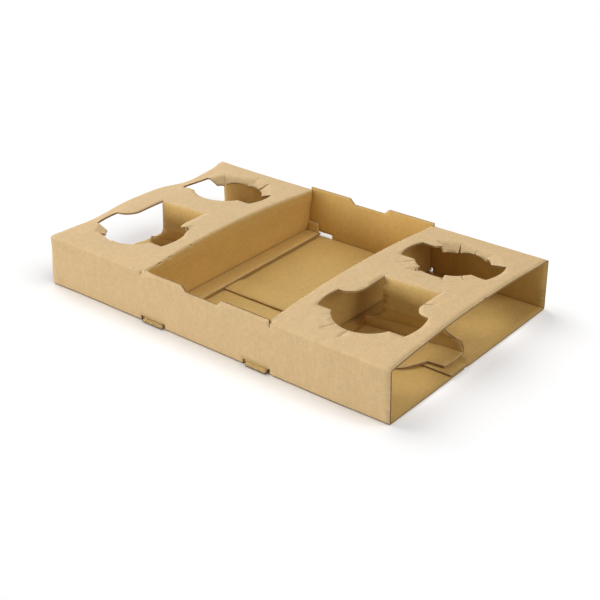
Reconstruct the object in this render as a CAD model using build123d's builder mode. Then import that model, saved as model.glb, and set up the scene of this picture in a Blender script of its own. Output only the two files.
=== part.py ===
from build123d import *
import os
from math import cos, hypot, radians, sin, sqrt

os.makedirs("parts", exist_ok=True)

# Cup carrier: one die-cut, creased and glued sheet of corrugated board.
# A flat sleeve, open at both ends, holds four cups in its crowned top panels.
# Between them the top is slit and folded down as the two walls of a centre well.
# X runs along the long side, Y from the front wall to the rear wall, Z is up.
# The origin is at the middle of the base, on its underside.

# Board and creases
board = 1.5               # thickness of the corrugated board
crease_radius = 2.4       # outside radius of a fold
crease_margin = 2.0       # flat board left past a rounded fold
seat_gap = 0.3            # air under a folded panel that only rests on another
side_gap = 0.3            # air beside a folded panel
slit_width = 0.6          # width of a die-cut slit

# Sleeve
sleeve_length = 364.0
sleeve_width = 220.0
fold_height = 45.0        # height of the walls at the top folds
crown_rise = 6.0          # how far the top panels bow up between the folds

# Glued lap in the base
lap_edge_y = -31.0        # raw edge of the upper layer
lap_width = 18.0
joggle_run = 9.0          # length over which the upper layer climbs one board

# Centre well: it takes the length that the cup holes leave
flange_width = 23.0       # foot of a well wall, on the base
left_lean = 3.0           # how far a well wall's foot stands outside its top fold
right_lean = 1.0
relief_margin = 1.1       # how far a relief slit runs past a rounded fold

# Raw top edges of the outer walls beside the well
raw_edge_rise = 2.5       # above the top folds
recess_depth = 5.0        # middle recess, below the raw edges
recess_half_length = 16.8
recess_flare = 5.0

# Locking tabs and their slots
tab_width = 21.0
tab_reach = 3.0           # past the outside of the wall
tab_tip_gap = 0.3         # air under the tip of a tab
bent_tab_length = 5.2
slot_inner_play = 2.5
slot_outer_play = 1.5

# Cup holes
cup_radius = 31.0
wing_radius = 43.0
wing_half_width = 15.5
hole_end_margin = 14.0    # board left between a hole's wing and the open end
hole_well_margin = 14.5   # and between its other wing and the well
hole_wall_margin = 12.0   # and between its slits and the outer wall
finger_angle = 25.0       # between two slits
finger_count = 4
finger_bend = 28.0        # degrees that the rear fingers of the rear holes hang down

# Flap that hangs from the rear of each front hole and props up the top
neck_corner_radius = 12.5
wing_shoulder = 2.1       # straight rear edge of a wing, beside the neck's corner
neck_fold_y = -2.0
knee_back = 6.0           # bulge of the flap towards the rear
knee_z = 14.0
heel_forward = 2.0        # start of the foot, in front of the neck fold

# Worked out from the sizes above
half_length = sleeve_length / 2
half_width = sleeve_width / 2
inner_half_width = half_width - board
cup_x = half_length - hole_end_margin - wing_radius
cup_y = half_width - hole_wall_margin - wing_radius
well_half_length = cup_x - wing_radius - hole_well_margin
inner_crease_radius = crease_radius - board
crown_top_z = fold_height + crown_rise
crown_radius = (half_width**2 + crown_rise**2) / (2 * crown_rise)
crown_centre_z = crown_top_z - crown_radius
straight_z = fold_height - crease_radius - crease_margin
lower_edge_y = lap_edge_y + lap_width
joggle_end_y = lower_edge_y + joggle_run
seat_z = 2 * board + seat_gap
foot_top_z = seat_z + board
raw_edge_z = fold_height + raw_edge_rise
recess_z = raw_edge_z - recess_depth
well_half_depth = half_width - crease_radius - side_gap
relief_length = crease_radius + relief_margin
tab_inset = flange_width / 2
slot_inner_x = well_half_length - tab_inset - tab_width / 2 - slot_inner_play
slot_outer_x = well_half_length - tab_inset + tab_width / 2 + max(left_lean, right_lean) + slot_outer_play
slot_height = foot_top_z + side_gap
bend_overlap = 2 * board  # reach of a cut past the bend between two runs
same_place = board / 10   # how near an edge must lie to count as one of a fold's edges


def half_chord(radius, offset):
    """Half the chord of a circle at a distance from its centre."""
    return sqrt(radius**2 - offset**2)


wing_x = half_chord(wing_radius, wing_half_width)
step_x = half_chord(cup_radius, wing_half_width)
corner_x = wing_x - wing_shoulder
corner_y = wing_half_width + neck_corner_radius
neck_half_width = corner_x - neck_corner_radius
flap_neck = neck_half_width - slit_width
neck_y = cup_y + neck_fold_y


def crown_z(y, depth=0.0):
    """Height of the crowned top at y, or of the layer depth below its surface."""
    return crown_centre_z + sqrt((crown_radius - depth) ** 2 - y**2)


def on_circle(radius, degrees_round, centre=(0, 0)):
    """Point of a circle at an angle from +X."""
    angle = radians(degrees_round)
    return (centre[0] + radius * cos(angle), centre[1] + radius * sin(angle))


def path_length(path):
    """Length of a path of straight runs."""
    return sum(hypot(b[0] - a[0], b[1] - a[1]) for a, b in zip(path, path[1:]))


# Sleeve: a closed ring of board, lapped in the base and crowned on top
with BuildSketch() as ring_outside:
    with BuildLine():
        Line((-half_width, 0), (-half_width, fold_height))
        ThreePointArc((-half_width, fold_height), (0, crown_top_z), (half_width, fold_height))
        Polyline(
            (half_width, fold_height),
            (half_width, 0),
            (joggle_end_y, 0),
            (lower_edge_y, board),
            (lower_edge_y, 0),
            (-half_width, 0),
        )
    make_face()
    fillet(ring_outside.vertices().group_by(Axis.X)[0], crease_radius)
    fillet(ring_outside.vertices().group_by(Axis.X)[-1], crease_radius)

inner_fold_z = crown_z(inner_half_width, board)
with BuildSketch() as ring_inside:
    with BuildLine():
        Line((-inner_half_width, board), (-inner_half_width, inner_fold_z))
        ThreePointArc(
            (-inner_half_width, inner_fold_z),
            (0, crown_top_z - board),
            (inner_half_width, inner_fold_z),
        )
        Polyline(
            (inner_half_width, inner_fold_z),
            (inner_half_width, board),
            (joggle_end_y, board),
            (lower_edge_y, 2 * board),
            (lap_edge_y, 2 * board),
            (lap_edge_y, board),
            (-inner_half_width, board),
        )
    make_face()
    fillet(ring_inside.vertices().group_by(Axis.X)[0], inner_crease_radius)
    fillet(ring_inside.vertices().group_by(Axis.X)[-1], inner_crease_radius)

with BuildPart() as sleeve:
    with BuildSketch(Plane.YZ):
        add(ring_outside.sketch)
        add(ring_inside.sketch, mode=Mode.SUBTRACT)
    extrude(amount=half_length, both=True)

# Everything under the middle of the crowned board: hanging panels are trimmed to it
trim_z = crown_z(half_width, board / 2)
with BuildPart() as under_crown:
    with BuildSketch(Plane.YZ):
        with BuildLine():
            ThreePointArc((-half_width, trim_z), (0, crown_top_z - board / 2), (half_width, trim_z))
            Polyline((half_width, trim_z), (half_width, 0), (-half_width, 0), (-half_width, trim_z))
        make_face()
    extrude(amount=half_length, both=True)

# Well panels: each hangs from a top fold, leans outwards and turns in as a flange on the base
well_panels = []
for side, lean in ((-1, left_lean), (1, right_lean)):
    heel_x = well_half_length + lean
    toe_x = heel_x - flange_width
    with BuildPart() as well_panel:
        with BuildSketch(Plane.XZ) as section:
            with BuildLine():
                Polyline(
                    (side * well_half_length, crown_top_z),
                    (side * well_half_length, straight_z),
                    (side * heel_x, foot_top_z),
                    (side * toe_x, foot_top_z),
                    (side * toe_x, seat_z),
                    (side * (heel_x + board), seat_z),
                    (side * (well_half_length + board), straight_z),
                    (side * (well_half_length + board), crown_top_z),
                    close=True,
                )
            make_face()
            fillet(section.vertices().sort_by_distance((side * (heel_x + board), seat_z))[0], crease_radius)
            fillet(section.vertices().sort_by_distance((side * heel_x, foot_top_z))[0], inner_crease_radius)
        extrude(amount=well_half_depth, both=True)
        add(under_crown.part, mode=Mode.INTERSECT)
        # locking tabs slope down from the flange and out through their slots
        with BuildSketch(Plane.YZ.offset(side * (heel_x - tab_inset))):
            with BuildLine():
                Polyline(
                    (-well_half_depth, foot_top_z),
                    (-well_half_depth, seat_z),
                    (-half_width - tab_reach, tab_tip_gap),
                    (-half_width - tab_reach, tab_tip_gap + board),
                    close=True,
                )
            make_face()
            if side > 0:
                mirror(about=Plane.YZ)
        extrude(amount=tab_width / 2, both=True)
        if side < 0:
            # the rear left tab has slipped out of its slot and stands in the corner of the well
            with BuildSketch(Plane.XY.offset(seat_z)):
                with Locations((side * (heel_x - tab_inset), well_half_depth)):
                    Rectangle(tab_width, board, align=(Align.CENTER, Align.MAX))
            extrude(amount=board + bent_tab_length)
    well_panels.append(well_panel.part)

# Outline of a front hole about the cup's centre: two wings, and the neck of the prop flap
with BuildSketch() as front_hole:
    with BuildLine():
        ThreePointArc((0, -cup_radius), on_circle(cup_radius, -60), (step_x, -wing_half_width))
        Line((step_x, -wing_half_width), (wing_x, -wing_half_width))
        ThreePointArc((wing_x, -wing_half_width), (wing_radius, 0), (wing_x, wing_half_width))
        Line((wing_x, wing_half_width), (corner_x, wing_half_width))
        ThreePointArc(
            (corner_x, wing_half_width),
            on_circle(neck_corner_radius, -135, (corner_x, corner_y)),
            (neck_half_width, corner_y),
        )
        Polyline(
            (neck_half_width, corner_y),
            (neck_half_width, neck_y + relief_length),
            (flap_neck, neck_y + relief_length),
            (flap_neck, neck_y),
            (0, neck_y),
        )
        mirror(about=Plane.YZ)
    make_face()

# Prop flap: what was cut from a front hole, bent down from its neck in straight runs
neck_fold_z = crown_z(neck_fold_y)
heel_y = neck_fold_y - heel_forward
flap_path = [
    (neck_fold_y, neck_fold_z),
    (neck_fold_y, straight_z),
    (neck_fold_y + knee_back, knee_z),
    (heel_y, foot_top_z),
]
foot_length = neck_y + cup_radius - path_length(flap_path)
flap_path.append((heel_y - foot_length, foot_top_z))

with BuildSketch() as flap_outline:
    add(front_hole.sketch)
    offset(amount=-slit_width)
    with Locations((0, neck_y)):
        Rectangle(2 * flap_neck, 2 * bend_overlap)

# the outline stands on the plane of each run, counted along the flap from the neck fold
with BuildPart() as flap_trim:
    travelled = 0
    for start, end in zip(flap_path, flap_path[1:]):
        run = hypot(end[0] - start[0], end[1] - start[1])
        along = Vector(0, end[0] - start[0], end[1] - start[1]).normalized()
        hole_centre = Vector(0, *start) + along * (neck_y - travelled)
        with BuildSketch(Plane(origin=hole_centre, x_dir=(1, 0, 0), z_dir=along.cross(Vector(1, 0, 0)))):
            add(flap_outline.sketch)
            with Locations((0, neck_y - travelled - run / 2)):
                Rectangle(2 * wing_radius, run + 2 * bend_overlap, mode=Mode.INTERSECT)
        extrude(amount=bend_overlap, both=True)
        travelled += run

with BuildPart() as prop_flap:
    with BuildSketch(Plane.YZ):
        with BuildLine():
            outer_face = FilletPolyline(
                (neck_fold_y, crown_top_z),
                *flap_path[1:],
                radius=(crease_radius, inner_crease_radius, inner_crease_radius),
            )
            offset(outer_face, amount=board, side=Side.LEFT)
        make_face()
    extrude(amount=wing_radius, both=True)
    add(under_crown.part, mode=Mode.INTERSECT)
    add(flap_trim.part, mode=Mode.INTERSECT)

# Outline of a rear hole about the cup's centre: two wings, and a fan for the bent fingers
first_slit = 90 - finger_count * finger_angle / 2
slit_angles = [first_slit + index * finger_angle for index in range(finger_count + 1)]
with BuildSketch() as rear_hole:
    Circle(wing_radius)
    Rectangle(2 * wing_radius, 2 * wing_half_width, mode=Mode.INTERSECT)
    Circle(cup_radius)
    with BuildLine():
        Polyline((0, 0), *[on_circle(wing_radius, angle) for angle in slit_angles], close=True)
    make_face()

# Slits between the flat fingers round the front of every hole
with BuildSketch() as front_slits:
    for angle in slit_angles:
        with PolarLocations(wing_radius, 1, start_angle=-angle):
            Rectangle(wing_radius - cup_radius / 2, slit_width, align=(Align.MAX, Align.CENTER))

# Bent fingers of the rear holes: each hinges on a chord of the wing circle, on the crowned top
finger_half = radians(finger_angle / 2)
hinge_half = wing_radius * sin(finger_half) - slit_width / 2
end_half = cup_radius * sin(finger_half) - slit_width / 2
end_depth = (wing_radius - cup_radius) * cos(finger_half)
middle_depth = wing_radius * cos(finger_half) - cup_radius
rear_fingers = []
for centre_x in (-cup_x, cup_x):
    for start_angle, end_angle in zip(slit_angles, slit_angles[1:]):
        start_x, start_y = on_circle(wing_radius, start_angle, (centre_x, cup_y))
        end_x, end_y = on_circle(wing_radius, end_angle, (centre_x, cup_y))
        start = Vector(start_x, start_y, crown_z(start_y))
        end = Vector(end_x, end_y, crown_z(end_y))
        middle = (start + end) * 0.5
        hinge = (end - start).normalized()
        inward = Vector(centre_x, cup_y, middle.Z) - middle
        inward = (inward - hinge * inward.dot(hinge)).normalized()
        upward = hinge.cross(inward)
        tilted = upward * cos(radians(finger_bend)) + inward * sin(radians(finger_bend))
        with BuildPart() as finger:
            with BuildSketch(Plane(origin=middle, x_dir=hinge, z_dir=tilted)):
                with BuildLine():
                    Polyline(
                        (end_half, end_depth),
                        (hinge_half, 0),
                        (-hinge_half, 0),
                        (-end_half, end_depth),
                    )
                    ThreePointArc((-end_half, end_depth), (0, middle_depth), (end_half, end_depth))
                make_face()
            extrude(amount=-board)
        rear_fingers.append(finger.part)

# The whole carrier
with BuildPart() as cup_carrier:
    add(sleeve.part)

    # the well is open on top, with a relief slit past each end of its two top folds
    with BuildSketch(Plane.XY.offset(straight_z)):
        Rectangle(2 * well_half_length, 2 * half_width)
        for end in (-1, 1):
            with Locations((0, end * well_half_depth)):
                Rectangle(
                    2 * (well_half_length + relief_length),
                    half_width - well_half_depth,
                    align=(Align.CENTER, Align.MIN if end > 0 else Align.MAX),
                )
    extrude(amount=crown_top_z, mode=Mode.SUBTRACT)

    # raw top edges of the outer walls, each with a flared recess in its middle
    for outside_y in (half_width, -inner_half_width):
        with BuildSketch(Plane.XZ.offset(outside_y)):
            with BuildLine():
                Polyline(
                    (0, straight_z),
                    (0, recess_z),
                    (recess_half_length, recess_z),
                    (recess_half_length + recess_flare, raw_edge_z),
                    (well_half_length + relief_length - slit_width, raw_edge_z),
                    (well_half_length + relief_length - slit_width, straight_z),
                    (0, straight_z),
                )
            make_face()
            mirror(about=Plane.YZ)
        extrude(amount=-board)

    # slots for the locking tabs, along the bottom folds
    with BuildSketch():
        for side in (-1, 1):
            for end in (-1, 1):
                with Locations(
                    (side * (slot_inner_x + slot_outer_x) / 2, end * (half_width - crease_radius))
                ):
                    Rectangle(
                        slot_outer_x - slot_inner_x,
                        crease_radius,
                        align=(Align.CENTER, Align.MIN if end > 0 else Align.MAX),
                    )
    extrude(amount=slot_height, mode=Mode.SUBTRACT)

    # cup holes and the slits round their front halves
    with BuildSketch(Plane.XY.offset(straight_z)):
        with Locations((-cup_x, -cup_y), (cup_x, -cup_y)):
            add(front_hole.sketch)
            add(front_slits.sketch)
        with Locations((-cup_x, cup_y), (cup_x, cup_y)):
            add(rear_hole.sketch)
            add(front_slits.sketch)
    extrude(amount=crown_top_z, mode=Mode.SUBTRACT)

    add(rear_fingers)
    add(well_panels)
    with Locations((-cup_x, 0), (cup_x, 0)):
        add(prop_flap.part)

    # rounded top folds of the well walls and of the flap necks, outside and inside
    well_folds = cup_carrier.edges().filter_by(GeomType.CIRCLE).filter_by(lambda e: e.length > half_width)
    cross_edges = cup_carrier.edges().filter_by(Axis.X)
    neck_folds = cross_edges.filter_by(lambda e: abs(e.length - 2 * flap_neck) < same_place)
    fillet(
        well_folds.filter_by(lambda e: abs(abs(e.center().X) - well_half_length) < same_place)
        + neck_folds.filter_by(
            lambda e: (e.center() - Vector(e.center().X, neck_fold_y, neck_fold_z)).length < same_place
        ),
        crease_radius,
    )
    inner_fold_y = neck_fold_y + board
    fillet(
        well_folds.filter_by(lambda e: abs(abs(e.center().X) - well_half_length - board) < same_place)
        + neck_folds.filter_by(
            lambda e: (e.center() - Vector(e.center().X, inner_fold_y, neck_fold_z - board)).length
            < same_place
        ),
        inner_crease_radius,
    )

cup_carrier.part.label = "cup_carrier"
export_step(cup_carrier.part, "parts/cup_carrier.step")
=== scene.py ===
import logging
import math
from collections.abc import Callable
from dataclasses import dataclass, field, replace
from enum import Enum

import bpy
import numpy as np
from mathutils import Matrix, Vector, kdtree
from mathutils.geometry import delaunay_2d_cdt


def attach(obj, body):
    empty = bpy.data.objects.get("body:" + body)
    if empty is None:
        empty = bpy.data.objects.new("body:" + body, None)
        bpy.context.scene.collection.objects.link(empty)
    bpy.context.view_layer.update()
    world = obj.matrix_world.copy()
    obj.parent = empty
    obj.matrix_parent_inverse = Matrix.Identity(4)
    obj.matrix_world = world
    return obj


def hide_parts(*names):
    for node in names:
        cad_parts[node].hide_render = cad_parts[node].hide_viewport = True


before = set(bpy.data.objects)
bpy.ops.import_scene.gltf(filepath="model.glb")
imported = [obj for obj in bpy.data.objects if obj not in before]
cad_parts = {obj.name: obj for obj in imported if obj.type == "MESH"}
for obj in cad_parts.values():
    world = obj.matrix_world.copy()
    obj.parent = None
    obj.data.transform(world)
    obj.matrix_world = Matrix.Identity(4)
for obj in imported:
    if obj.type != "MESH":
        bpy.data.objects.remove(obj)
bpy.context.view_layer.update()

Array = np.ndarray
Point = tuple[float, float]
Triple = tuple[float, float, float]
Socket = bpy.types.NodeSocket
Value = Socket | float | tuple[float, ...]

log = logging.getLogger("cup_carrier")
MM = 0.001
EVEN = (1.0, 1.0, 1.0)
CUT_ROWS = 6


class Face(Enum):
    """Which paper of the board a face of the mesh shows."""

    OUTER = 0
    INNER = 1
    CUT = 2


@dataclass(frozen=True)
class Corrugated:
    """The board that the whole carrier is cut from, in millimetres."""

    thickness: float = 1.5
    liner: float = 0.24
    medium: float = 0.2
    flute_pitch: float = 3.3
    fold_radius: float = 1.2
    groove_depth: float = 1.1

    @property
    def half(self) -> float:
        """Half the thickness of the board."""
        return self.thickness / 2

    def wave(self, across: Array, along: Array) -> Array:
        """Height of the fluted paper between the two liners.

        Args:
            across: Place across the flutes, in the flat blank.
            along: Place along the flutes.

        Returns:
            The height of the middle of the fluted paper over the middle of the board.
        """
        room = self.half - self.liner - self.medium / 2
        drift = 0.5 * np.sin(across / 41.0 + 1.3) + 0.4 * np.sin(along / 67.0)
        return room * np.sin(2 * math.pi * across / self.flute_pitch + drift)


@dataclass(frozen=True)
class MeshSteps:
    """How close to each other the mesh's points lie in the blank, in millimetres."""

    across_flutes: float = 0.62
    along_flutes: float = 2.4
    panel: float = 4.6
    row_share: float = 0.45
    outline_room: float = 0.9
    hinge_room: float = 2.2
    hinge_outline_room: float = 0.35
    box_room: float = 0.4
    stop_room: float = 0.15
    crossing_room: float = 0.02
    level: float = 0.05
    same: float = 1e-6
    merged: float = 1e-5


BOARD, STEPS = Corrugated(), MeshSteps()


class Section:
    """A line of straight runs and arcs in a plane, measured along its length."""

    def __init__(self, start: Point) -> None:
        """Start the line at a point."""
        self.points: list[Point] = [start]
        self.rows: list[float] = []

    @property
    def length(self) -> float:
        """Length of the line so far."""
        p = np.array(self.points)
        return float(np.hypot(*np.diff(p, axis=0).T).sum())

    def line(self, *corners: Point) -> float:
        """Add straight runs, and return the length so far."""
        self.points.extend(corners)
        return self.length

    def arc(self, centre: Point, radius: float, start: float, end: float, steps: int = 60) -> float:
        """Add an arc.

        Args:
            centre: Centre of the arc.
            radius: Its radius.
            start: Angle of its first point, in degrees.
            end: Angle of its last point.
            steps: How many short runs stand for it.

        Returns:
            The length of the line so far.
        """
        for angle in np.radians(np.linspace(start, end, steps + 1)):
            self.points.append((centre[0] + radius * math.cos(angle), centre[1] + radius * math.sin(angle)))
        return self.length

    def fold(self, centre: Point, radius: float, start: float, end: float, rows: int = 6) -> float:
        """Add an arc that the mesh follows with fine rows, and return the length so far."""
        begin = self.length
        finish = self.arc(centre, radius, start, end, 24)
        self.rows.extend(np.linspace(begin, finish, rows + 1))
        return finish

    def at(self, length: Array) -> tuple[Array, Array]:
        """Points of the line at lengths along it; past an end it goes straight on."""
        p = np.array(self.points)
        p = p[np.concatenate([[True], np.hypot(*np.diff(p, axis=0).T) > 1e-9])]
        run = np.concatenate([[0.0], np.cumsum(np.hypot(*np.diff(p, axis=0).T))])
        a, b = np.interp(length, run, p[:, 0]), np.interp(length, run, p[:, 1])
        for end, back, sign in ((0, 1, -1), (-1, -2, 1)):
            over = np.maximum(sign * (length - run[end]), 0)
            way = (p[end] - p[back]) / np.hypot(*(p[end] - p[back]))
            a, b = a + over * way[0], b + over * way[1]
        return a, b


def rounded(corners: list[Point], radius: float) -> Section:
    """A line through corners, with every inner corner rounded.

    Args:
        corners: The corners, the first and the last being the ends.
        radius: Radius of the rounding.

    Returns:
        The line, with fine rows at each rounding.
    """
    line = Section(corners[0])
    for before, corner, after in zip(corners, corners[1:], corners[2:]):
        b, c, a = np.array(before), np.array(corner), np.array(after)
        way_in, way_out = (c - b) / np.linalg.norm(c - b), (a - c) / np.linalg.norm(a - c)
        turn = math.atan2(way_in[0] * way_out[1] - way_in[1] * way_out[0], float(way_in @ way_out))
        if abs(turn) < 1e-4:
            line.line(tuple(c))
            continue
        start = c - way_in * (radius * math.tan(abs(turn) / 2))
        centre = start + math.copysign(radius, turn) * np.array([-way_in[1], way_in[0]])
        line.line(tuple(start))
        first = math.degrees(math.atan2(*(start - centre)[::-1]))
        rows = max(2, round(abs(turn) / math.radians(15)))
        line.fold(tuple(centre), radius, first, first + math.degrees(turn), rows)
    line.line(corners[-1])
    return line


def arc_points(radius: float, start: float, end: float, centre: Point = (0, 0), step: float = 1.0) -> list[Point]:
    """Points of an arc in the blank, both ends included.

    Args:
        radius: Radius of the arc.
        start: Angle of the first point, in degrees.
        end: Angle of the last point.
        centre: Centre of the arc.
        step: Distance between points.

    Returns:
        The points in order.
    """
    count = max(2, math.ceil(abs(math.radians(end - start)) * radius / step))
    angles = np.radians(np.linspace(start, end, count + 1))
    return [(centre[0] + radius * math.cos(a), centre[1] + radius * math.sin(a)) for a in angles]


def half_chord(radius: float, offset: float) -> float:
    """Half the chord of a circle at a distance from its centre."""
    return math.sqrt(radius**2 - offset**2)


def smooth(value: Array, low: float, high: float) -> Array:
    """A soft step from 0 at low to 1 at high."""
    t = np.clip((value - low) / (high - low), 0, 1)
    return t * t * (3 - 2 * t)


@dataclass
class Patch:
    """A flat region of the blank, and the place of each of its points once it is folded."""

    name: str
    loops: list[list[Point]]
    place: Callable[[Array], Array]
    rows: list[float] = field(default_factory=list)
    columns: list[float] = field(default_factory=list)
    seam_x: float | None = None
    extra: Array = field(default_factory=lambda: np.zeros((0, 2)))
    # 1 on parts whose outer paper is drawn a deeper brown as painted shade.
    in_painted_shade: float = 0.0

    def sampled(self, loop: list[Point]) -> Array:
        """The points of a loop with the short steps that its edge needs.

        Args:
            loop: Corners of a closed loop.

        Returns:
            The points, without the first one again at the end.
        """
        out = []
        for a, b in zip(loop, loop[1:] + loop[:1]):
            a, b = np.array(a, float), np.array(b, float)
            length = np.linalg.norm(b - a)
            if length < STEPS.same:
                continue
            step = STEPS.across_flutes if abs(b[0] - a[0]) > length / 4 else STEPS.along_flutes
            count = max(1, math.ceil(length / step - STEPS.same))
            crossings = [] if a[0] == b[0] == self.seam_x else self.crossings(a, b)
            room = STEPS.stop_room / length
            stops = [t / count for t in range(1, count) if all(abs(t / count - c) > room for c in crossings)]
            out.extend(a + (b - a) * t for t in [0.0, *sorted(stops + crossings)])
        return np.array(out)

    def crossings(self, a: Array, b: Array) -> list[float]:
        """Where a straight edge crosses the fine rows and columns, as shares of its length."""
        found: list[float] = []
        for values, axis in ((self.rows, 1), (self.columns, 0)):
            if abs(b[axis] - a[axis]) > STEPS.level:
                found += [(v - a[axis]) / (b[axis] - a[axis]) for v in values]
        room = STEPS.crossing_room / np.linalg.norm(b - a)
        apart: list[float] = []
        for t in sorted(t for t in found if room < t < 1 - room):
            if not apart or t - apart[-1] > room:
                apart.append(t)
        return apart

    def grid(self, low: Array, high: Array) -> Array:
        """Points inside the region, with closer rows and columns at its folds.

        Args:
            low: Lowest corner of the region.
            high: Highest corner.

        Returns:
            The points, some of which may lie outside the outline.
        """
        lines = []
        for axis, fine in ((0, self.columns), (1, self.rows)):
            stops = np.array(sorted(fine))
            coarse = np.arange(low[axis] + STEPS.panel, high[axis], STEPS.panel)
            if len(stops):
                coarse = coarse[np.abs(coarse[:, None] - stops).min(1) > STEPS.panel * STEPS.row_share]
            both = np.unique(np.concatenate([coarse, stops]))
            lines.append(both[(both > low[axis] + STEPS.box_room) & (both < high[axis] - STEPS.box_room)])
        u, v = np.meshgrid(*lines)
        return np.column_stack([u.ravel(), v.ravel()])

    def triangles(self) -> tuple[Array, Array]:
        """Points of the region in the blank, and its triangles."""
        loops = [self.sampled(loop) for loop in self.loops]
        edges, start = [], 0
        for loop in loops:
            count = len(loop)
            edges.extend((start + i, start + (i + 1) % count) for i in range(count))
            start += count
        outline = np.vstack(loops)
        inner = self.grid(outline.min(0), outline.max(0))
        inner = inner[clear(inner, self.extra, STEPS.hinge_room) & clear(inner, outline, STEPS.outline_room)]
        extra = self.extra[clear(self.extra, outline, STEPS.hinge_outline_room)]
        points = np.vstack([outline, inner, extra])
        found = delaunay_2d_cdt([Vector(p) for p in points], edges, [], 0, STEPS.merged)
        flat = np.array([tuple(v) for v in found[0]])
        faces = np.array([f for f in found[2] if len(f) == 3])
        walls = {tuple(sorted(e)) for e, origin in zip(found[1], found[4]) if origin}
        faces = faces[kept(faces, walls)]
        used, back = np.unique(faces, return_inverse=True)
        return flat[used], back.reshape(faces.shape)


def kept(faces: Array, walls: set[tuple[int, int]]) -> Array:
    """Which triangles lie inside the outline and outside its holes.

    Args:
        faces: Triangles that fill everything between the outermost points.
        walls: The edges that belong to the outline or to a hole.

    Returns:
        True for each triangle of board.
    """
    beside: dict[tuple[int, int], list[int]] = {}
    for index, (a, b, c) in enumerate(faces.tolist()):
        for edge in ((a, b), (b, c), (c, a)):
            beside.setdefault((min(edge), max(edge)), []).append(index)
    links: list[list[tuple[int, bool]]] = [[] for _ in faces]
    state = np.full(len(faces), -1)
    front: list[int] = []
    for edge, pair in beside.items():
        wall = edge in walls
        if len(pair) == 2:
            links[pair[0]].append((pair[1], wall))
            links[pair[1]].append((pair[0], wall))
        elif state[pair[0]] < 0:
            state[pair[0]] = int(wall)
            front.append(pair[0])
    while front:
        here = front.pop()
        for other, wall in links[here]:
            if state[other] < 0:
                state[other] = state[here] ^ int(wall)
                front.append(other)
    return state == 1


def clear(points: Array, others: Array, distance: float) -> Array:
    """Which points have none of the others within a distance, along both axes.

    Args:
        points: The points asked about.
        others: The points to keep clear of.
        distance: The distance.

    Returns:
        True for each point that is clear.
    """
    others = others[np.argsort(others[:, 0])]
    starts = np.searchsorted(others[:, 0], points[:, 0] - distance, "right")
    ends = np.searchsorted(others[:, 0], points[:, 0] + distance)
    beside = (others[start:end, 1] - y for start, end, y in zip(starts, ends, points[:, 1]))
    return np.array([not (np.abs(gap) < distance).any() for gap in beside], bool)


@dataclass(frozen=True)
class Slit:
    """A cut from the rim of a cup hole outwards, in degrees and millimetres."""

    angle: float
    outer: float = 43.0
    width: float = 0.35
    lean: float = 0.0
    tip: float = 0.06
    room: float = 0.002


@dataclass(frozen=True)
class Finger:
    """A tongue of board between two cuts round a cup hole, bent down about the chord at its root."""

    start: float
    end: float
    bend: float
    root: float = 43.0
    softness: float = 1.65
    end_root: float = 0.0


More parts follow.
